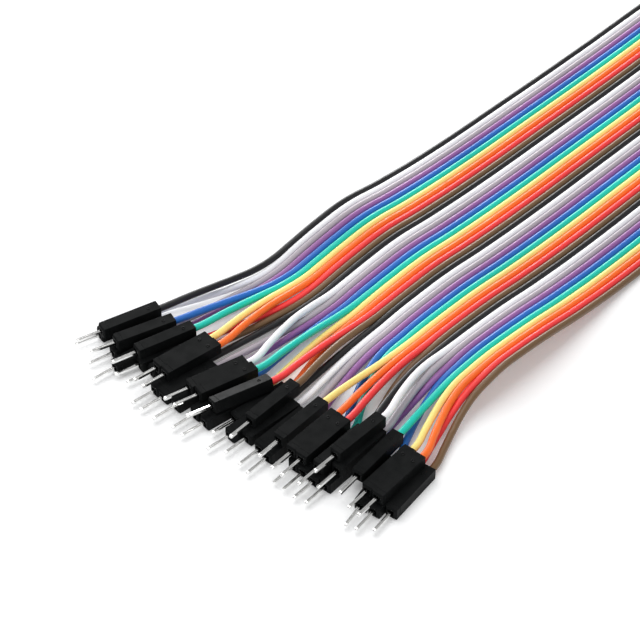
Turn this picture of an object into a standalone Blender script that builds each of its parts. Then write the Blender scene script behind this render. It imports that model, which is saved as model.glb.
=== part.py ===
"""Forty-way ribbon of breadboard jumper wires with a pin connector on both ends of each wire.

Metres, +Z up. X runs along the ribbon, from the near connectors to the far ones.
The first wire, black, is on the +Y edge. The origin is under the middle of the connectors.
"""

import math

import bmesh
import bpy
from mathutils import Matrix, Vector

MM = 0.001

# Ribbon of insulated wires
WIRE_COUNT = 40
WIRE_DIAMETER = 1.3 * MM
WIRE_GAP = 0.2 * MM
WIRE_PITCH = WIRE_DIAMETER + WIRE_GAP
WIRE_BEVEL_STEPS = 2

# Connector housing and its contact pin
HOUSING_WIDTH = 2.54 * MM
HOUSING_HEIGHT = 2.54 * MM
HOUSING_LENGTH = 13.0 * MM
FRONT_CHAMFER = 0.3 * MM
RECESS_WIDTH = 1.3 * MM
RECESS_DEPTH = 0.8 * MM
PIN_WIDTH = 0.64 * MM
PIN_REACH = 5.4 * MM
PIN_TAPER = 0.8 * MM
PIN_TIP_SHARE = 0.45
SOCKET_CLEARANCE = 0.3 * MM
SOCKET_WIDTH = WIRE_DIAMETER + 2 * SOCKET_CLEARANCE
SOCKET_DEPTH = 3.0 * MM

# Connectors of one group are moulded together with these shallow overlaps
SIDE_BITE = 0.04 * MM
STACK_BITE = 0.05 * MM
EDGE_BITE = 0.15 * MM
SLOT = HOUSING_WIDTH - SIDE_BITE

# Near end: the middle of the row of groups, at the housings' fronts and at their rears
NEAR_ROW_FRONT_Y = 0.14 * MM
NEAR_ROW_REAR_Y = -0.68 * MM

# Each near group: the gap before it at the front and at the rear, and the place of its front.
# Each connector: wire, layer, place in slots across the group, millimetres forward, turn and roll in degrees.
NEAR_GROUPS = (
    (0.0, 0.0, 0.8, [(1, 1, 0.0, 0.0, 0, 0), (2, 0, 0.73, -0.25, 1, 0)]),
    (1.85, 1.95, 1.8, [
        (5, 1, 1.13, 1.85, -1.5, 0),
        (6, 1, -0.56, -0.55, 1.5, 0),
        (3, 0, 1.39, 2.7, 4.5, 0),
        (4, 0, 0.04, 4.15, 9.5, 0),
        (9, 0, -1.06, -0.45, 0.5, 0),
    ]),
    (1.75, -0.35, 2.1, [
        (7, 1, 0.5, 0.1, 0, 0),
        (8, 1, -0.5, -0.1, 0, 0),
        (10, 0, 0.88, 0.3, -7.5, 0),
        (11, 0, -0.59, 2.8, 0.5, 0),
        (13, 0, -1.59, 2.6, 0.5, 0),
    ]),
    (0.55, 2.15, 2.9, [
        (12, 1, 0.5, 0.3, 0, 0),
        (16, 1, -0.5, -0.3, 0, 0),
        (14, 0, 0.63, 3.85, 8.5, 0),
        (15, 0, -0.99, 1.95, 8.5, 0),
    ]),
    (0.55, 0.95, 2.75, [(19, 1, 0.0, 0.0, 0, 16), (17, 0, -0.02, 2.4, 8, 0)]),
    (2.2, -1.85, 5.45, [
        (20, 1, 0.0, 0.0, 0, 0),
        (18, 0, 1.31, 0.0, -8, 0),
        (21, 0, 0.5, 3.75, -7, 0),
        (22, 0, -0.6, 2.1, -5, 0),
    ]),
    (0.7, 0.6, 6.0, [(27, 1, 0.0, 0.0, 0, 0), (23, 0, 1.06, 2.45, -1.5, 0), (24, 0, 0.09, 3.1, -0.5, 0)]),
    (1.4, 1.4, 5.7, [
        (28, 1, 0.5, 0.0, 0, 0),
        (29, 1, -0.5, 0.15, 0, 0),
        (25, 0, 0.07, 0.75, 0, 0),
        (26, 0, -0.93, 0.8, 0, 0),
    ]),
    (0.0, 0.1, 9.3, [
        (32, 2, -0.07, 0.0, -1.5, 0),
        (31, 1, 0.69, 2.75, 0, 0),
        (33, 1, -0.51, 0.9, 0.5, 0),
        (30, 0, 0.7, 4.2, 0.5, 0),
        (34, 0, -0.3, 3.7, 0.5, 0),
    ]),
    (1.05, 0.7, 9.0, [
        (37, 1, 0.5, -0.1, 0, 0),
        (38, 1, -0.5, 0.1, 0, 0),
        (36, 1, 2.09, -1.85, 2.5, 0),
        (35, 0, 0.89, 2.0, 9, 0),
        (39, 0, -0.49, 1.4, 2.5, 0),
        (40, 0, -1.48, -0.45, 3.5, 0),
    ]),
)

# Far end: square bundles of two rows, set back from one edge to the other like the near end
FAR_COLUMNS = 4
FAR_BLOCKS = WIRE_COUNT // (2 * FAR_COLUMNS)
FAR_BLOCK_GAP = 1.96 * MM
FAR_REAR_X = 208 * MM
FAR_SETBACK = 9.0 * MM
FAR_ROW_Y = 8.8 * MM
FAR_STAGGER = ((0.0, 0.6), (0.9, 0.2), (0.3, 1.1), (0.7, 0.0))

# Ribbon stations: distance along X, sideways drift, heights of the black edge, the middle and the brown edge
STATIONS = (
    (14, 0.0, 1.2, 1.2, 1.6),
    (30, 0.0, 0.9, 1.5, 3.4),
    (40, 0.0, 1.1, 1.9, 6.0),
    (50, 0.0, 3.4, 3.2, 6.8),
    (62, 0.3, 5.0, 3.9, 6.0),
    (75, 1.2, 3.2, 2.6, 3.6),
    (90, 2.5, 1.3, 1.1, 1.3),
    (118, 3.9, 0.75, 0.75, 0.75),
    (150, 5.5, 0.75, 0.75, 0.75),
    (172, 7.0, 0.75, 0.75, 0.75),
    (200, 8.4, 0.75, 0.75, 0.75),
    (225, 8.8, 0.75, 0.75, 0.75),
)
STUB = 2.0 * MM
NEAR_SPLIT_X = 54 * MM
FAR_TAIL = 26 * MM
RIBBON_X = (63, 75, 92, 120, 148, 174)
NEAR_STEPS = (0.14, 0.28, 0.42, 0.56, 0.70, 0.84, 1.0)
FAR_STEPS = (1.0, 0.66, 0.33)
SIDEWAYS_DONE = 0.6
SIDEWAYS_PUSH = 1.5
EXIT_TURN = 0.8
CLIMB_FROM = 0.05
CLIMB_DONE = 0.9

WIRE_COLOURS = (
    ("black", (0.02, 0.02, 0.022)),
    ("white", (0.86, 0.86, 0.88)),
    ("grey", (0.36, 0.36, 0.40)),
    ("purple", (0.22, 0.09, 0.30)),
    ("blue", (0.02, 0.14, 0.58)),
    ("green", (0.01, 0.50, 0.42)),
    ("yellow", (0.93, 0.72, 0.16)),
    ("orange", (0.95, 0.16, 0.03)),
    ("red", (0.85, 0.04, 0.05)),
    ("brown", (0.12, 0.07, 0.03)),
)
HOUSING_COLOUR = (0.012, 0.013, 0.014)


def material(name, colour, roughness, metallic=0.0):
    found = bpy.data.materials.get(name)
    if found:
        return found
    made = bpy.data.materials.new(name)
    made.use_nodes = True
    shader = made.node_tree.nodes["Principled BSDF"]
    shader.inputs["Base Color"].default_value = (*colour, 1.0)
    shader.inputs["Roughness"].default_value = roughness
    shader.inputs["Metallic"].default_value = metallic
    return made


def smoothstep(t):
    t = min(1.0, max(0.0, t))
    return t * t * (3 - 2 * t)


def hermite(t, start, end, start_slope, end_slope):
    t2 = t * t
    t3 = t2 * t
    return (
        (2 * t3 - 3 * t2 + 1) * start
        + (t3 - 2 * t2 + t) * start_slope
        + (3 * t2 - 2 * t3) * end
        + (t3 - t2) * end_slope
    )


def station_value(x, column):
    """One column of the ribbon stations at x, on a smooth curve through them."""
    rows = [(row[0] * MM, row[column] * MM) for row in STATIONS]
    x = min(max(x, rows[0][0]), rows[-1][0])
    last = len(rows) - 1
    index = max(i for i in range(last) if rows[i][0] <= x)

    def slope(i):
        low, high = max(i - 1, 0), min(i + 1, last)
        return (rows[high][1] - rows[low][1]) / (rows[high][0] - rows[low][0])

    span = rows[index + 1][0] - rows[index][0]
    t = (x - rows[index][0]) / span
    return hermite(t, rows[index][1], rows[index + 1][1], slope(index) * span, slope(index + 1) * span)


def lane(wire, x):
    """The place of a wire's centre in the bonded ribbon at x."""
    across = (WIRE_COUNT + 1) / 2 - wire
    edge = across / ((WIRE_COUNT - 1) / 2)
    black_edge = station_value(x, 2)
    middle = station_value(x, 3)
    brown_edge = station_value(x, 4)
    tilt = (black_edge - brown_edge) / 2
    dip = (black_edge + brown_edge) / 2 - middle
    height = middle + tilt * edge + dip * edge * edge
    return Vector((x, across * WIRE_PITCH + station_value(x, 1), max(height, WIRE_DIAMETER / 2)))


def group_sides(rows):
    """How far a group reaches to its +Y side and to its -Y side."""
    slots = [row[2] for row in rows]
    return max(slots) * SLOT + HOUSING_WIDTH / 2, -min(slots) * SLOT + HOUSING_WIDTH / 2


def row_of_groups(gap_column, middle):
    """Centres of the near groups along Y, packed side by side with their gaps."""
    edge = 0.0
    centres = []
    for group in NEAR_GROUPS:
        left, right = group_sides(group[3])
        edge -= group[gap_column] * MM
        centres.append(edge - left)
        edge -= left + right
    return [centre - edge / 2 + middle for centre in centres]


def layer_height(layer, roll):
    """Height of the middle of a connector that rests on the ones below, or on their edge if it is rolled."""
    if roll:
        angle = math.radians(abs(roll))
        rolled_half = (HOUSING_HEIGHT * math.cos(angle) + HOUSING_WIDTH * math.sin(angle)) / 2
        return layer * HOUSING_HEIGHT + rolled_half - EDGE_BITE
    return HOUSING_HEIGHT / 2 + layer * (HOUSING_HEIGHT - STACK_BITE)


def near_placements():
    """One list for each near group, of wire and matrix for each of its connectors."""
    fronts = row_of_groups(0, NEAR_ROW_FRONT_Y)
    rears = row_of_groups(1, NEAR_ROW_REAR_Y)
    placed = []
    for group, front_y, rear_y in zip(NEAR_GROUPS, fronts, rears):
        yaw = math.atan2(rear_y - front_y, HOUSING_LENGTH)
        axis = Vector((math.cos(yaw), math.sin(yaw), 0))
        side = Vector((-axis.y, axis.x, 0))
        middle = Vector((group[2] * MM + HOUSING_LENGTH / 2, (front_y + rear_y) / 2, 0))
        members = []
        for wire, layer, slot, forward, turn, roll in group[3]:
            centre = middle + side * slot * SLOT - axis * forward * MM
            centre.z = layer_height(layer, roll)
            heading = Matrix.Rotation(yaw + math.pi + math.radians(turn), 4, "Z")
            members.append((wire, Matrix.Translation(centre) @ heading @ Matrix.Rotation(math.radians(roll), 4, "X")))
        placed.append(members)
    return placed


def far_placements():
    """One list for each far bundle, of wire and matrix for each of its connectors."""
    block_width = (FAR_COLUMNS - 1) * SLOT + HOUSING_WIDTH
    pitch = block_width + FAR_BLOCK_GAP
    placed = []
    for block in range(FAR_BLOCKS):
        centre_y = ((FAR_BLOCKS - 1) / 2 - block) * pitch + FAR_ROW_Y
        rear_x = FAR_REAR_X + FAR_SETBACK * block / (FAR_BLOCKS - 1)
        members = []
        for column in range(FAR_COLUMNS):
            y = centre_y + ((FAR_COLUMNS - 1) / 2 - column) * SLOT
            for layer in (0, 1):
                wire = 2 * (block * FAR_COLUMNS + column) + 1 + layer
                x = rear_x + HOUSING_LENGTH / 2 + FAR_STAGGER[column][layer] * MM
                centre = Vector((x, y, layer_height(layer, 0)))
                members.append((wire, Matrix.Translation(centre)))
        placed.append(members)
    return placed


def tail(wire, matrix, lane_x, steps):
    """Points of a wire from inside its housing to the ribbon at lane_x."""
    seat = matrix @ Vector((-HOUSING_LENGTH / 2 + SOCKET_DEPTH - SOCKET_CLEARANCE, 0, 0))
    stub = matrix @ Vector((-HOUSING_LENGTH / 2 - STUB, 0, 0))
    out = (stub - seat).normalized()
    settled_x = stub.x + (lane_x - stub.x) * SIDEWAYS_DONE
    settled = lane(wire, settled_x)
    along = out.y / out.x * (settled_x - stub.x)
    towards = SIDEWAYS_PUSH * (settled.y - stub.y)
    start_slope = along + (towards - along) * EXIT_TURN
    points = [seat, stub]
    for share in sorted(steps):
        x = stub.x + (lane_x - stub.x) * share
        here = lane(wire, x)
        if share < SIDEWAYS_DONE:
            here.y = hermite(share / SIDEWAYS_DONE, stub.y, settled.y, start_slope, 0.0)
        climb = smoothstep((share - CLIMB_FROM) / (CLIMB_DONE - CLIMB_FROM))
        here.z = stub.z + (here.z - stub.z) * climb
        points.append(here)
    return points


def route(wire, near, far):
    """Centre line of a wire, from its near housing to its far one."""
    far_rear = far @ Vector((-HOUSING_LENGTH / 2, 0, 0))
    points = tail(wire, near, NEAR_SPLIT_X, NEAR_STEPS)
    points += [lane(wire, x * MM) for x in RIBBON_X]
    points += reversed(tail(wire, far, far_rear.x - FAR_TAIL, FAR_STEPS))
    return points


def connector_mesh():
    """A housing with a chamfered and recessed front, its contact pin, and a socket at the rear."""
    mesh = bmesh.new()
    size = Matrix.Diagonal((HOUSING_LENGTH, HOUSING_WIDTH, HOUSING_HEIGHT, 1.0))
    bmesh.ops.create_cube(mesh, size=1.0, matrix=size)
    mesh.faces.ensure_lookup_table()
    front = max(mesh.faces, key=lambda face: face.calc_center_median().x)
    rear = min(mesh.faces, key=lambda face: face.calc_center_median().x)

    def step(face, along, width, height):
        """Extrudes a cap by a length along X and gives it a new width and height."""
        made = bmesh.ops.extrude_discrete_faces(mesh, faces=[face])["faces"][0]
        for vert in made.verts:
            vert.co.x += along
            vert.co.y = math.copysign(width / 2, vert.co.y)
            vert.co.z = math.copysign(height / 2, vert.co.z)
        return made

    for vert in front.verts:
        vert.co.x -= FRONT_CHAMFER
    cap = step(front, FRONT_CHAMFER, HOUSING_WIDTH - 2 * FRONT_CHAMFER, HOUSING_HEIGHT - 2 * FRONT_CHAMFER)
    cap = step(cap, 0.0, RECESS_WIDTH, RECESS_WIDTH)
    cap = step(cap, -RECESS_DEPTH, RECESS_WIDTH, RECESS_WIDTH)
    cap = step(cap, 0.0, PIN_WIDTH, PIN_WIDTH)
    cap = step(cap, RECESS_DEPTH + PIN_REACH - PIN_TAPER, PIN_WIDTH, PIN_WIDTH)
    step(cap, PIN_TAPER, PIN_WIDTH * PIN_TIP_SHARE, PIN_WIDTH * PIN_TIP_SHARE)
    cap = step(rear, 0.0, SOCKET_WIDTH, SOCKET_WIDTH)
    step(cap, SOCKET_DEPTH, SOCKET_WIDTH, SOCKET_WIDTH)
    bmesh.ops.recalc_face_normals(mesh, faces=mesh.faces)
    data = bpy.data.meshes.new("connector")
    mesh.to_mesh(data)
    mesh.free()
    return data


def connector_group(name, members, data, parts, helpers, origin):
    """The connectors of one group, joined where they rest against each other."""
    base = None
    for wire, matrix in members:
        is_base = base is None
        label = name if is_base else f"{name}_joined_{wire:02d}"
        piece = bpy.data.objects.new(label, data)
        piece.parent = origin
        piece.matrix_local = matrix
        if is_base:
            base = piece
            parts.objects.link(piece)
            continue
        helpers.objects.link(piece)
        piece.display_type = "WIRE"
        piece.hide_render = True
        union = base.modifiers.new(f"join_{wire:02d}", "BOOLEAN")
        union.operation = "UNION"
        union.object = piece
    return base


def wire_tube(wire, points, parts, origin):
    colour, shade = WIRE_COLOURS[(wire - 1) % len(WIRE_COLOURS)]
    curve = bpy.data.curves.new(f"wire_{wire:02d}_{colour}", "CURVE")
    curve.dimensions = "3D"
    curve.bevel_depth = WIRE_DIAMETER / 2
    curve.bevel_resolution = WIRE_BEVEL_STEPS
    curve.use_fill_caps = True
    spline = curve.splines.new("POLY")
    spline.points.add(len(points) - 1)
    for point, place in zip(spline.points, points):
        point.co = (*place, 1.0)
    curve.materials.append(material(f"insulation_{colour}", shade, 0.42))
    tube = bpy.data.objects.new(curve.name, curve)
    tube.parent = origin
    parts.objects.link(tube)
    return tube


def footprint(groups):
    """Lowest and highest X and Y of the connectors, from their corners and pin tips."""
    half = HOUSING_LENGTH / 2
    local = [Vector((half + PIN_REACH, 0, 0))]
    for x in (-half, half - FRONT_CHAMFER):
        for y in (-HOUSING_WIDTH / 2, HOUSING_WIDTH / 2):
            for z in (-HOUSING_HEIGHT / 2, HOUSING_HEIGHT / 2):
                local.append(Vector((x, y, z)))
    for y in (-PIN_WIDTH * PIN_TIP_SHARE / 2, PIN_WIDTH * PIN_TIP_SHARE / 2):
        local.append(Vector((half + PIN_REACH, y, 0)))
    spots = [matrix @ corner for members in groups for _, matrix in members for corner in local]
    xs = [spot.x for spot in spots]
    ys = [spot.y for spot in spots]
    return min(xs), max(xs), min(ys), max(ys)


def build():
    for old in list(bpy.data.objects):
        bpy.data.objects.remove(old, do_unlink=True)
    parts = bpy.data.collections.new("breadboard_jumper_wires")
    helpers = bpy.data.collections.new("cutters")
    for collection in (parts, helpers):
        bpy.context.scene.collection.children.link(collection)

    near = near_placements()
    far = far_placements()
    low_x, high_x, low_y, high_y = footprint(near + far)
    origin = bpy.data.objects.new("origin", None)
    origin.location = (-(low_x + high_x) / 2, -(low_y + high_y) / 2, 0)
    parts.objects.link(origin)

    data = connector_mesh()
    data.materials.append(material("housing_plastic", HOUSING_COLOUR, 0.45))
    for end, groups in (("near", near), ("far", far)):
        for number, members in enumerate(groups, 1):
            connector_group(f"{end}_connectors_{number:02d}", members, data, parts, helpers, origin)

    near_of = {wire: matrix for members in near for wire, matrix in members}
    far_of = {wire: matrix for members in far for wire, matrix in members}
    for wire in range(1, WIRE_COUNT + 1):
        wire_tube(wire, route(wire, near_of[wire], far_of[wire]), parts, origin)


build()
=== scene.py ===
"""Looks of the breadboard jumper wire ribbon: forty insulated wires and eighty pin connectors."""

import math

import bmesh
import bpy
from mathutils import Matrix, Vector


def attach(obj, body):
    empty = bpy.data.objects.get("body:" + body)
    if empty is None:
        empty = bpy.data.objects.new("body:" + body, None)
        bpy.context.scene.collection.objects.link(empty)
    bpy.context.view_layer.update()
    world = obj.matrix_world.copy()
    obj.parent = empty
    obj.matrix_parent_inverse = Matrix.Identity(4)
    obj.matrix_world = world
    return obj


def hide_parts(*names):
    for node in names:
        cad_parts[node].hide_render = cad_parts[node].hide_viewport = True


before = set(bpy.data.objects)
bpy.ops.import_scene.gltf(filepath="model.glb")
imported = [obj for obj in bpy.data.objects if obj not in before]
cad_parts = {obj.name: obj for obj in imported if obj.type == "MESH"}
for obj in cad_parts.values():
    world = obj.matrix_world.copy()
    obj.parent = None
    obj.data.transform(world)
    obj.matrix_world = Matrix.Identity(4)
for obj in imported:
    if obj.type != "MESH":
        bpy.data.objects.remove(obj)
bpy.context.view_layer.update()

MM = 0.001

# The ribbon's layout, in millimetres. ORIGIN is where the model's origin lies in it. The wires are a little
# thicker here than the model's plain solids, so that neighbours touch, and their lowest centre is higher.
ORIGIN = Vector((114.453, -0.113, 0.0))
WIRE_COUNT = 40
WIRE_PITCH = 1.5
WIRE_DIAMETER = 1.48
LOWEST_CENTRE = 0.78
HOUSING_WIDTH = 2.54
HOUSING_LENGTH = 13.0
HALF = HOUSING_LENGTH / 2
SLOT = 2.5
STACK_BITE = 0.05
EDGE_BITE = 0.15
SOCKET_WIDTH = 1.9
SOCKET_DEPTH = 3.0
SOCKET_CLEARANCE = 0.3
PIN_WIDTH = 0.64
PIN_REACH = 5.4

# Details of a housing, in millimetres, and in degrees the angle of an edge that is rounded. The window and
# its tongue run from START to END, measured from the middle. The thin line round the front lies between
# LINE_REAR and LINE_FRONT behind it.
MOUTH_CHAMFER = 0.3
RECESS_WIDTH = 1.36
RECESS_DEPTH = 1.5
WINDOW_START = -0.9
WINDOW_END = 2.6
WINDOW_WIDTH = 1.2
WINDOW_DEPTH = 0.42
TONGUE_START = -0.6
TONGUE_END = 2.2
TONGUE_WIDTH = 0.84
TONGUE_SUNK = 0.02
TONGUE_THICKNESS = 0.26
TONGUE_CHAMFER = 0.05
LINE_REAR = 1.36
LINE_FRONT = 1.24
LINE_DEPTH = 0.05
EDGE_ROUNDING = 0.07
SHARP_ANGLE = 40
CUT_MARGIN = 1.0

# The mould's mark on a housing: distance from the rear, sides, then radius and height of each ring
MARK_SETBACK = 2.3
MARK_SIDES = 14
MARK_SUNK = 0.01
MARK_RINGS = ((0.14, 0.0), (0.19, 0.08), (0.28, 0.11), (0.37, 0.08), (0.42, 0.0))

# The pin: flat at each corner, half width and depth of the seam, then distance past the housing's front
# and share of the full width, from inside the housing to the tip
PIN_CORNER = 0.06
SEAM_HALF_WIDTH = 0.085
SEAM_DEPTH = 0.2
PIN_STATIONS = ((-1.6, 1.0), (PIN_REACH - 0.5, 1.0), (PIN_REACH - 0.12, 0.92), (PIN_REACH, 0.7))

NEAR_ROW_FRONT_Y = 0.14
NEAR_ROW_REAR_Y = -0.68
# Each near group: gap before it at the front and at the rear, place of its front, then its connectors as
# wire, layer, slot across, millimetres forward, turn and roll in degrees.
NEAR_GROUPS = (
    (0.0, 0.0, 0.8, [(1, 1, 0.0, 0.0, 0, 0), (2, 0, 0.73, -0.25, 1, 0)]),
    (1.85, 1.95, 1.8, [
        (5, 1, 1.13, 1.85, -1.5, 0),
        (6, 1, -0.56, -0.55, 1.5, 0),
        (3, 0, 1.39, 2.7, 4.5, 0),
        (4, 0, 0.04, 4.15, 9.5, 0),
        (9, 0, -1.06, -0.45, 0.5, 0),
    ]),
    (1.75, -0.35, 2.1, [
        (7, 1, 0.5, 0.1, 0, 0),
        (8, 1, -0.5, -0.1, 0, 0),
        (10, 0, 0.88, 0.3, -7.5, 0),
        (11, 0, -0.59, 2.8, 0.5, 0),
        (13, 0, -1.59, 2.6, 0.5, 0),
    ]),
    (0.55, 2.15, 2.9, [
        (12, 1, 0.5, 0.3, 0, 0),
        (16, 1, -0.5, -0.3, 0, 0),
        (14, 0, 0.63, 3.85, 8.5, 0),
        (15, 0, -0.99, 1.95, 8.5, 0),
    ]),
    (0.55, 0.95, 2.75, [(19, 1, 0.0, 0.0, 0, 16), (17, 0, -0.02, 2.4, 8, 0)]),
    (2.2, -1.85, 5.45, [
        (20, 1, 0.0, 0.0, 0, 0),
        (18, 0, 1.31, 0.0, -8, 0),
        (21, 0, 0.5, 3.75, -7, 0),
        (22, 0, -0.6, 2.1, -5, 0),
    ]),
    (0.7, 0.6, 6.0, [(27, 1, 0.0, 0.0, 0, 0), (23, 0, 1.06, 2.45, -1.5, 0), (24, 0, 0.09, 3.1, -0.5, 0)]),
    (1.4, 1.4, 5.7, [
        (28, 1, 0.5, 0.0, 0, 0),
        (29, 1, -0.5, 0.15, 0, 0),
        (25, 0, 0.07, 0.75, 0, 0),
        (26, 0, -0.93, 0.8, 0, 0),
    ]),
    (0.0, 0.1, 9.3, [
        (32, 2, -0.07, 0.0, -1.5, 0),
        (31, 1, 0.69, 2.75, 0, 0),
        (33, 1, -0.51, 0.9, 0.5, 0),
        (30, 0, 0.7, 4.2, 0.5, 0),
        (34, 0, -0.3, 3.7, 0.5, 0),
    ]),
    (1.05, 0.7, 9.0, [
        (37, 1, 0.5, -0.1, 0, 0),
        (38, 1, -0.5, 0.1, 0, 0),
        (36, 1, 2.09, -1.85, 2.5, 0),
        (35, 0, 0.89, 2.0, 9, 0),
        (39, 0, -0.49, 1.4, 2.5, 0),
        (40, 0, -1.48, -0.45, 3.5, 0),
    ]),
)

# The far connectors, in blocks of two layers: gap between blocks, rear of the first block, how much further
# out the last one is, the row's place across, and how far each column's lower and upper one stand out
FAR_COLUMNS = 4
FAR_BLOCKS = 5
FAR_BLOCK_GAP = 1.96
FAR_REAR_X = 208.0
FAR_SETBACK = 9.0
FAR_ROW_Y = 8.8
FAR_STAGGER = ((0.0, 0.6), (0.9, 0.2), (0.3, 1.1), (0.7, 0.0))

# Distance along X, sideways drift, heights of the black edge, the middle and the brown edge
STATIONS = (
    (14, 0.0, 1.2, 1.2, 1.6),
    (30, 0.0, 0.9, 1.5, 3.4),
    (40, 0.0, 1.1, 1.9, 6.0),
    (50, 0.0, 3.4, 3.2, 6.8),
    (62, 0.3, 5.0, 3.9, 6.0),
    (75, 1.2, 3.2, 2.6, 3.6),
    (90, 2.5, 1.3, 1.1, 1.3),
    (118, 3.9, 0.75, 0.75, 0.75),
    (150, 5.5, 0.75, 0.75, 0.75),
    (172, 7.0, 0.75, 0.75, 0.75),
    (200, 8.4, 0.75, 0.75, 0.75),
    (225, 8.8, 0.75, 0.75, 0.75),
)

# A wire's straight stub behind its housing, where the near wires part from the ribbon, the length of the
# far tails, the ribbon's own points, and the tails' points as shares of the way from stub to ribbon
STUB = 2.0
NEAR_SPLIT_X = 54.0
FAR_TAIL = 26.0
RIBBON_X = (63, 75, 92, 120, 148, 174)
NEAR_STEPS = (0.14, 0.28, 0.42, 0.56, 0.70, 0.84, 1.0)
FAR_STEPS = (1.0, 0.66, 0.33)

# Shares of that way by which a wire has moved sideways into its lane and over which it climbs to it, and
# how strongly it turns towards its lane at the stub
SIDEWAYS_DONE = 0.6
SIDEWAYS_PUSH = 1.5
EXIT_TURN = 0.8
CLIMB_FROM = 0.05
CLIMB_DONE = 0.9

# Insulation colours as they look, from 0 to 255
INSULATION = (
    ("black", (34, 34, 36)),
    ("white", (246, 246, 250)),
    ("grey", (178, 170, 178)),
    ("purple", (150, 98, 160)),
    ("blue", (42, 108, 194)),
    ("green", (30, 202, 184)),
    ("yellow", (252, 228, 134)),
    ("orange", (253, 112, 40)),
    ("red", (248, 66, 66)),
    ("brown", (114, 88, 62)),
)
INSULATION_GLOSS = 0.34

# Darkest and lightest tone of the housings' plastic and of the pins' plating, as shaders take them
PLASTIC_TONES = ((0.0056, 0.0062, 0.0064, 1.0), (0.0084, 0.0090, 0.0092, 1.0))
PLASTIC_GLOSS = 0.04
PLATING_TONES = ((0.84, 0.84, 0.83, 1.0), (0.94, 0.94, 0.93, 1.0))

# Parts of a noise's range over which tones blend and values spread
TONE_RANGE = (0.35, 0.65)
VALUE_RANGE = (0.3, 0.7)

# Camera, fitted to the photograph: where it looks, in the ribbon's layout, and from where
CAMERA_TARGET = Vector((37.7, 10.1, 0.0))
CAMERA_DISTANCE = 380.0
CAMERA_AZIMUTH = -134.0
CAMERA_ELEVATION = 43.0
CAMERA_LENS = 104.34

# Light from all around, then the lamps in metres and watts: name, place, width, height and power.
# They point at LIT_POINT.
SKY_STRENGTH = 0.42
LAMPS = (
    ("key", (-0.08, 0.22, 0.75), 0.70, 0.70, 4.0),
    ("front", (-0.30, -0.36, 0.30), 0.30, 0.30, 0.5),
    ("low strip", (0.18, 0.46, 0.115), 0.50, 0.16, 2.5),
)
LIT_POINT = Vector((-0.06, 0.0, 0.0))

# The floor in metres, and the light that it adds of itself where the camera or a reflection sees it,
# so that it shows as white
FLOOR_HALF_SIZE = 3.0
FLOOR_DROP = 0.00005
FLOOR_TONE = (0.92, 0.925, 0.93, 1.0)
FLOOR_ROUGHNESS = 0.9
FLOOR_GLOW = 0.14


def smoothstep(t):
    t = min(1.0, max(0.0, t))
    return t * t * (3 - 2 * t)


def hermite(t, start, end, start_slope, end_slope):
    t2 = t * t
    t3 = t2 * t
    return (
        (2 * t3 - 3 * t2 + 1) * start
        + (t3 - 2 * t2 + t) * start_slope
        + (3 * t2 - 2 * t3) * end
        + (t3 - t2) * end_slope
    )


def station_value(x, column):
    """One column of the ribbon stations at x, on a smooth curve through them."""
    rows = [(row[0], row[column]) for row in STATIONS]
    x = min(max(x, rows[0][0]), rows[-1][0])
    last = len(rows) - 1
    index = max(i for i in range(last) if rows[i][0] <= x)

    def slope(i):
        low, high = max(i - 1, 0), min(i + 1, last)
        return (rows[high][1] - rows[low][1]) / (rows[high][0] - rows[low][0])

    span = rows[index + 1][0] - rows[index][0]
    t = (x - rows[index][0]) / span
    return hermite(t, rows[index][1], rows[index + 1][1], slope(index) * span, slope(index + 1) * span)


def lane(wire, x):
    """The place of a wire's centre in the bonded ribbon at x."""
    across = (WIRE_COUNT + 1) / 2 - wire
    edge = across / ((WIRE_COUNT - 1) / 2)
    black_edge = station_value(x, 2)
    middle = station_value(x, 3)
    brown_edge = station_value(x, 4)
    tilt = (black_edge - brown_edge) / 2
    dip = (black_edge + brown_edge) / 2 - middle
    height = middle + tilt * edge + dip * edge * edge
    return Vector((x, across * WIRE_PITCH + station_value(x, 1), max(height, LOWEST_CENTRE)))


def row_of_groups(gap_column, middle):
    """Centres of the near groups along Y, packed side by side with their gaps."""
    edge = 0.0
    centres = []
    for group in NEAR_GROUPS:
        slots = [row[2] for row in group[3]]
        left = max(slots) * SLOT + HOUSING_WIDTH / 2
        right = -min(slots) * SLOT + HOUSING_WIDTH / 2
        edge -= group[gap_column]
        centres.append(edge - left)
        edge -= left + right
    return [centre - edge / 2 + middle for centre in centres]


def layer_height(layer, roll):
    if roll:
        angle = math.radians(abs(roll))
        return HOUSING_WIDTH * (layer + (math.cos(angle) + math.sin(angle)) / 2) - EDGE_BITE
    return HOUSING_WIDTH / 2 + layer * (HOUSING_WIDTH - STACK_BITE)


def near_placements():
    """One list for each near group, of wire and matrix for each of its connectors."""
    placed = []
    fronts = row_of_groups(0, NEAR_ROW_FRONT_Y)
    rears = row_of_groups(1, NEAR_ROW_REAR_Y)
    for group, front_y, rear_y in zip(NEAR_GROUPS, fronts, rears):
        yaw = math.atan2(rear_y - front_y, HOUSING_LENGTH)
        axis = Vector((math.cos(yaw), math.sin(yaw), 0))
        side = Vector((-axis.y, axis.x, 0))
        middle = Vector((group[2] + HALF, (front_y + rear_y) / 2, 0))
        members = []
        for wire, layer, slot, forward, turn, roll in group[3]:
            centre = middle + side * slot * SLOT - axis * forward
            centre.z = layer_height(layer, roll)
            heading = Matrix.Rotation(yaw + math.pi + math.radians(turn), 4, "Z")
            lean = Matrix.Rotation(math.radians(roll), 4, "X")
            members.append((wire, Matrix.Translation(centre) @ heading @ lean))
        placed.append(members)
    return placed


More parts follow.
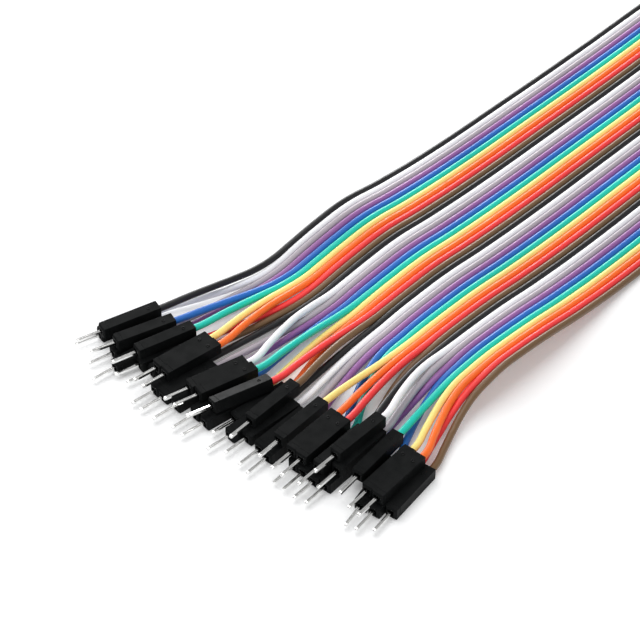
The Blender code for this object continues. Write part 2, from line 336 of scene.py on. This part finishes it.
def far_placements():
    """One list for each far bundle, of wire and matrix for each of its connectors."""
    pitch = (FAR_COLUMNS - 1) * SLOT + HOUSING_WIDTH + FAR_BLOCK_GAP
    placed = []
    for block in range(FAR_BLOCKS):
        centre_y = ((FAR_BLOCKS - 1) / 2 - block) * pitch + FAR_ROW_Y
        rear_x = FAR_REAR_X + FAR_SETBACK * block / (FAR_BLOCKS - 1)
        members = []
        for column in range(FAR_COLUMNS):
            y = centre_y + ((FAR_COLUMNS - 1) / 2 - column) * SLOT
            for layer in (0, 1):
                wire = 2 * (block * FAR_COLUMNS + column) + 1 + layer
                x = rear_x + HALF + FAR_STAGGER[column][layer]
                members.append((wire, Matrix.Translation((x, y, layer_height(layer, 0)))))
        placed.append(members)
    return placed


def tail(wire, matrix, lane_x, steps):
    """Points of a wire from inside its housing to the ribbon at lane_x."""
    seat = matrix @ Vector((-HALF + SOCKET_DEPTH - SOCKET_CLEARANCE, 0, 0))
    stub = matrix @ Vector((-HALF - STUB, 0, 0))
    out = (stub - seat).normalized()
    settled_x = stub.x + (lane_x - stub.x) * SIDEWAYS_DONE
    settled = lane(wire, settled_x)
    along = out.y / out.x * (settled_x - stub.x)
    towards = SIDEWAYS_PUSH * (settled.y - stub.y)
    start_slope = along + (towards - along) * EXIT_TURN
    points = [seat, stub]
    for share in sorted(steps):
        here = lane(wire, stub.x + (lane_x - stub.x) * share)
        if share < SIDEWAYS_DONE:
            here.y = hermite(share / SIDEWAYS_DONE, stub.y, settled.y, start_slope, 0.0)
        climb = smoothstep((share - CLIMB_FROM) / (CLIMB_DONE - CLIMB_FROM))
        here.z = stub.z + (here.z - stub.z) * climb
        points.append(here)
    return points


def route(wire, near, far):
    """Centre line of a wire, from its near housing to its far one, in the model's frame and metres."""
    far_rear = far @ Vector((-HALF, 0, 0))
    points = tail(wire, near, NEAR_SPLIT_X, NEAR_STEPS)
    points += [lane(wire, x) for x in RIBBON_X]
    points += reversed(tail(wire, far, far_rear.x - FAR_TAIL, FAR_STEPS))
    return [(point - ORIGIN) * MM for point in points]


def colour_of(wire):
    return INSULATION[(wire - 1) % len(INSULATION)][0]


def linear(colour):
    """A colour from 0 to 255, as it looks, as Blender's shaders take it."""
    values = []
    for value in colour:
        share = value / 255
        values.append(share / 12.92 if share <= 0.04045 else ((share + 0.055) / 1.055) ** 2.4)
    return (*values, 1.0)


class Shading:
    """A node material with a Principled shader, and short ways to add nodes to it."""

    def __init__(self, name):
        self.material = bpy.data.materials.new(name)
        self.material.use_nodes = True
        self.tree = self.material.node_tree
        self.shader = self.tree.nodes["Principled BSDF"]

    def node(self, kind, **settings):
        made = self.tree.nodes.new(kind)
        for name, value in settings.items():
            if hasattr(made, name):
                setattr(made, name, value)
            else:
                made.inputs[name].default_value = value
        return made

    def link(self, source, target):
        self.tree.links.new(source, target)

    def noise(self, scale, stretch=(1, 1, 1), detail=2.0):
        """Noise of about scale repeats a metre, in the object's own coordinates."""
        place = self.node("ShaderNodeTexCoord")
        squeeze = self.node("ShaderNodeMapping", Scale=stretch)
        noise = self.node("ShaderNodeTexNoise", Scale=scale, Detail=detail)
        self.link(place.outputs["Object"], squeeze.inputs["Vector"])
        self.link(squeeze.outputs["Vector"], noise.inputs["Vector"])
        return noise.outputs["Fac"]

    def blend(self, factor, tones):
        """A colour between two tones, by a noise."""
        ramp = self.node("ShaderNodeValToRGB")
        for stop, position, tone in zip(ramp.color_ramp.elements, TONE_RANGE, tones):
            stop.position = position
            stop.color = tone
        self.link(factor, ramp.inputs["Fac"])
        return ramp.outputs["Color"]

    def spread(self, factor, low, high):
        """A value from low to high for the middle of a noise's range."""
        ranged = self.node("ShaderNodeMapRange")
        ranged.inputs["From Min"].default_value = VALUE_RANGE[0]
        ranged.inputs["From Max"].default_value = VALUE_RANGE[1]
        ranged.inputs["To Min"].default_value = low
        ranged.inputs["To Max"].default_value = high
        self.link(factor, ranged.inputs["Value"])
        return ranged.outputs["Result"]

    def bump(self, height, distance, strength):
        bump = self.node("ShaderNodeBump", Strength=strength, Distance=distance)
        self.link(height, bump.inputs["Height"])
        self.link(bump.outputs["Normal"], self.shader.inputs["Normal"])

    def feed(self, source, name):
        self.link(source, self.shader.inputs[name])

    def set(self, name, value):
        self.shader.inputs[name].default_value = value


def shade(colour, factor):
    """A colour made darker or lighter by a factor."""
    return (*(min(1.0, value * factor) for value in colour[:3]), 1.0)


def insulation_material(name, colour):
    """Extruded PVC: faint streaks along the wire, small changes of tint, and a soft gloss."""
    made = Shading(f"insulation_{name}")
    base = linear(colour)
    tint = made.noise(90, stretch=(0.35, 1, 1))
    made.feed(made.blend(tint, (shade(base, 0.93), shade(base, 1.04))), "Base Color")
    streaks = made.noise(2600, stretch=(0.04, 1, 1))
    made.feed(made.spread(streaks, low=0.30, high=0.42), "Roughness")
    made.bump(streaks, distance=0.00002, strength=0.25)
    made.set("Specular IOR Level", INSULATION_GLOSS)
    return made.material


def plastic_material():
    """Moulded black nylon, with a fine grain and a slightly worn, uneven sheen."""
    made = Shading("housing_plastic")
    grain = made.noise(5200)
    patches = made.noise(420, detail=3.0)
    made.feed(made.blend(patches, PLASTIC_TONES), "Base Color")
    made.feed(made.spread(patches, low=0.36, high=0.48), "Roughness")
    made.bump(grain, distance=0.000012, strength=0.35)
    made.set("Specular IOR Level", PLASTIC_GLOSS)
    return made.material


def plated_material():
    """Bright tin plating with fine drawing marks along the pin."""
    made = Shading("contact_plating")
    marks = made.noise(5200, stretch=(0.08, 1, 1))
    clouds = made.noise(900)
    made.feed(made.blend(clouds, PLATING_TONES), "Base Color")
    made.feed(made.spread(marks, low=0.06, high=0.14), "Roughness")
    made.bump(marks, distance=0.00001, strength=0.3)
    made.set("Metallic", 1.0)
    return made.material


def box_mesh(low, high):
    """A closed box between two corners, as a bmesh in millimetres."""
    mesh = bmesh.new()
    centre = (Vector(low) + Vector(high)) / 2
    size = Vector(high) - Vector(low)
    bmesh.ops.create_cube(mesh, size=1.0, matrix=Matrix.Translation(centre) @ Matrix.Diagonal((*size, 1.0)))
    return mesh


def chamfer(mesh, edges, width):
    bmesh.ops.bevel(mesh, geom=edges, offset=width, segments=1, affect="EDGES", profile=0.5)


def lofted_mesh(rings):
    """A closed skin through rings of points, as a bmesh."""
    mesh = bmesh.new()
    loops = [[mesh.verts.new(point) for point in ring] for ring in rings]
    count = len(loops[0])
    for first, second in zip(loops, loops[1:]):
        for i in range(count):
            j = (i + 1) % count
            mesh.faces.new((first[i], second[i], second[j], first[j]))
    mesh.faces.new(loops[0])
    mesh.faces.new(list(reversed(loops[-1])))
    bmesh.ops.recalc_face_normals(mesh, faces=mesh.faces)
    return mesh


def as_data(name, mesh):
    data = bpy.data.meshes.new(name)
    mesh.to_mesh(data)
    mesh.free()
    return data


def as_object(name, mesh):
    made = bpy.data.objects.new(name, as_data(name, mesh))
    bpy.context.scene.collection.objects.link(made)
    return made


def finished_mesh(piece):
    """The piece's mesh with its modifiers applied, after which the piece itself is removed."""
    bpy.context.view_layer.update()
    graph = bpy.context.evaluated_depsgraph_get()
    data = bpy.data.meshes.new_from_object(piece.evaluated_get(graph))
    bpy.data.objects.remove(piece, do_unlink=True)
    return data


def housing_mesh():
    """One housing in millimetres, pin end towards +X: chamfered mouth, latch window below, socket behind."""
    half = HOUSING_WIDTH / 2
    recess = RECESS_WIDTH / 2
    socket = SOCKET_WIDTH / 2
    window = WINDOW_WIDTH / 2
    line_rear = HALF - LINE_REAR
    line_front = HALF - LINE_FRONT
    outside = half + CUT_MARGIN
    line_floor = half - LINE_DEPTH
    shell = box_mesh((-HALF, -half, -half), (HALF, half, half))
    shell.faces.ensure_lookup_table()
    front = max(shell.faces, key=lambda face: face.calc_center_median().x)
    chamfer(shell, list(front.edges), MOUTH_CHAMFER)
    shell = as_object("shell", shell)
    cuts = (
        ((HALF - RECESS_DEPTH, -recess, -recess), (HALF + CUT_MARGIN, recess, recess)),
        ((-HALF - CUT_MARGIN, -socket, -socket), (-HALF + SOCKET_DEPTH, socket, socket)),
        ((WINDOW_START, -window, -outside), (WINDOW_END, window, -half + WINDOW_DEPTH)),
        ((line_rear, line_floor, -outside), (line_front, outside, outside)),
        ((line_rear, -outside, -outside), (line_front, -line_floor, outside)),
        ((line_rear, -outside, line_floor), (line_front, outside, outside)),
    )
    tools = []
    for number, (low, high) in enumerate(cuts):
        tool = as_object(f"cut_{number}", box_mesh(low, high))
        cut = shell.modifiers.new(f"cut_{number}", "BOOLEAN")
        cut.operation = "DIFFERENCE"
        cut.solver = "EXACT"
        cut.object = tool
        tools.append(tool)
    soften = shell.modifiers.new("soften", "BEVEL")
    soften.width = EDGE_ROUNDING
    soften.segments = 2
    soften.limit_method = "ANGLE"
    soften.angle_limit = math.radians(SHARP_ANGLE)
    data = finished_mesh(shell)
    for tool in tools:
        bpy.data.objects.remove(tool, do_unlink=True)
    return data


def mark_mesh():
    """The small raised ring that the mould leaves on top of a housing, near its rear."""
    angles = [2 * math.pi * i / MARK_SIDES for i in range(MARK_SIDES)]
    rings = [
        [
            (
                -HALF + MARK_SETBACK + radius * math.cos(angle),
                radius * math.sin(angle),
                HOUSING_WIDTH / 2 + height - MARK_SUNK,
            )
            for angle in angles
        ]
        for radius, height in MARK_RINGS
    ]
    return as_data("mark", lofted_mesh(rings))


def pin_mesh():
    """A square pin folded from strip, with the seam of the fold above and below and a blunt tip."""
    half = PIN_WIDTH / 2
    upper = [
        (half, half - PIN_CORNER),
        (half - PIN_CORNER, half),
        (SEAM_HALF_WIDTH, half),
        (0.0, half - SEAM_DEPTH),
        (-SEAM_HALF_WIDTH, half),
        (-half + PIN_CORNER, half),
        (-half, half - PIN_CORNER),
    ]
    outline = upper + [(-y, -z) for y, z in upper]
    rings = [[(HALF + x, y * share, z * share) for y, z in outline] for x, share in PIN_STATIONS]
    return as_data("pin", lofted_mesh(rings))


def tongue_mesh():
    """The sprung tongue in the latch window."""
    side = TONGUE_WIDTH / 2
    bottom = -HOUSING_WIDTH / 2 + TONGUE_SUNK
    tongue = box_mesh((TONGUE_START, -side, bottom), (TONGUE_END, side, bottom + TONGUE_THICKNESS))
    chamfer(tongue, list(tongue.edges), TONGUE_CHAMFER)
    return as_data("tongue", tongue)


def connector_piece(name, members, kit, plastic, plating):
    """The detailed connectors of one group, as one piece."""
    mesh = bmesh.new()
    for wire, matrix in members:
        place = Matrix.Scale(MM, 4) @ Matrix.Translation(-ORIGIN) @ matrix
        for data, slot in kit:
            before = len(mesh.faces)
            start = len(mesh.verts)
            mesh.from_mesh(data)
            mesh.verts.ensure_lookup_table()
            mesh.faces.ensure_lookup_table()
            for vert in mesh.verts[start:]:
                vert.co = place @ vert.co
            for face in mesh.faces[before:]:
                face.material_index = slot
                face.smooth = False
    piece = as_object(name, mesh)
    piece.data.materials.append(plastic)
    piece.data.materials.append(plating)
    return piece


def wire_piece(wire, points, look):
    """One wire as a round curve through its points."""
    name = f"ribbon_wire_{wire:02d}_{colour_of(wire)}"
    curve = bpy.data.curves.new(name, "CURVE")
    curve.dimensions = "3D"
    curve.bevel_depth = WIRE_DIAMETER / 2 * MM
    curve.bevel_resolution = 5
    curve.resolution_u = 7
    curve.use_fill_caps = True
    spline = curve.splines.new("BEZIER")
    spline.bezier_points.add(len(points) - 1)
    for point, place in zip(spline.bezier_points, points):
        point.co = place
        point.handle_left_type = "AUTO"
        point.handle_right_type = "AUTO"
    curve.materials.append(look)
    piece = bpy.data.objects.new(name, curve)
    bpy.context.scene.collection.objects.link(piece)
    return piece


def place_camera():
    azimuth = math.radians(CAMERA_AZIMUTH)
    elevation = math.radians(CAMERA_ELEVATION)
    away = Vector((
        math.cos(elevation) * math.cos(azimuth),
        math.cos(elevation) * math.sin(azimuth),
        math.sin(elevation),
    ))
    data = bpy.data.cameras.new("camera")
    data.sensor_width = 36.0
    data.sensor_fit = "HORIZONTAL"
    data.lens = CAMERA_LENS
    data.clip_start = 0.01
    data.clip_end = 20.0
    camera = bpy.data.objects.new("camera", data)
    camera.location = (CAMERA_TARGET - ORIGIN + away * CAMERA_DISTANCE) * MM
    camera.rotation_euler = away.to_track_quat("Z", "Y").to_euler()
    bpy.context.scene.collection.objects.link(camera)
    bpy.context.scene.camera = camera


def place_lights():
    world = bpy.data.worlds.new("studio")
    bpy.context.scene.world = world
    world.use_nodes = True
    sky = world.node_tree.nodes["Background"]
    sky.inputs["Color"].default_value = (1.0, 1.0, 1.0, 1.0)
    sky.inputs["Strength"].default_value = SKY_STRENGTH
    for name, place, width, height, power in LAMPS:
        data = bpy.data.lights.new(name, "AREA")
        data.shape = "RECTANGLE"
        data.size = width
        data.size_y = height
        data.energy = power
        light = bpy.data.objects.new(name, data)
        light.location = place
        light.rotation_euler = (Vector(place) - LIT_POINT).to_track_quat("Z", "Y").to_euler()
        bpy.context.scene.collection.objects.link(light)


def lay_floor():
    """A wide white floor that keeps the soft shadows and shows as white to the camera."""
    mesh = bmesh.new()
    bmesh.ops.create_grid(mesh, x_segments=1, y_segments=1, size=FLOOR_HALF_SIZE)
    floor = as_object("floor", mesh)
    floor.location.z = -FLOOR_DROP
    look = Shading("floor")
    look.set("Base Color", FLOOR_TONE)
    look.set("Roughness", FLOOR_ROUGHNESS)
    look.set("Specular IOR Level", 0.0)
    glow = look.node("ShaderNodeEmission")
    path = look.node("ShaderNodeLightPath")
    mirrored = look.node("ShaderNodeMath", operation="MAXIMUM")
    refracted = look.node("ShaderNodeMath", operation="MAXIMUM")
    seen = look.node("ShaderNodeMath", operation="MULTIPLY")
    seen.inputs[1].default_value = FLOOR_GLOW
    total = look.node("ShaderNodeAddShader")
    output = look.tree.nodes["Material Output"]
    look.link(path.outputs["Is Camera Ray"], mirrored.inputs[0])
    look.link(path.outputs["Is Glossy Ray"], mirrored.inputs[1])
    look.link(mirrored.outputs["Value"], refracted.inputs[0])
    look.link(path.outputs["Is Transmission Ray"], refracted.inputs[1])
    look.link(refracted.outputs["Value"], seen.inputs[0])
    look.link(seen.outputs["Value"], glow.inputs["Strength"])
    look.link(look.shader.outputs["BSDF"], total.inputs[0])
    look.link(glow.outputs["Emission"], total.inputs[1])
    look.link(total.outputs["Shader"], output.inputs["Surface"])
    floor.data.materials.append(look.material)


bpy.context.scene.view_settings.view_transform = "Standard"
place_camera()

near = near_placements()
far = far_placements()
near_of = {wire: matrix for members in near for wire, matrix in members}
far_of = {wire: matrix for members in far for wire, matrix in members}

looks = {name: insulation_material(name, colour) for name, colour in INSULATION}
for wire in range(1, WIRE_COUNT + 1):
    colour = colour_of(wire)
    points = route(wire, near_of[wire], far_of[wire])
    piece = wire_piece(wire, points, looks[colour])
    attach(piece, "root")
    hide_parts(f"wire_{wire:02d}_{colour}")

plastic = plastic_material()
plating = plated_material()
kit = ((housing_mesh(), 0), (mark_mesh(), 0), (tongue_mesh(), 0), (pin_mesh(), 1))
for end, groups in (("near", near), ("far", far)):
    for number, members in enumerate(groups, 1):
        node = f"{end}_connectors_{number:02d}"
        piece = connector_piece(f"{end}_housings_{number:02d}", members, kit, plastic, plating)
        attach(piece, "root")
        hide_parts(node)

lay_floor()
place_lights()
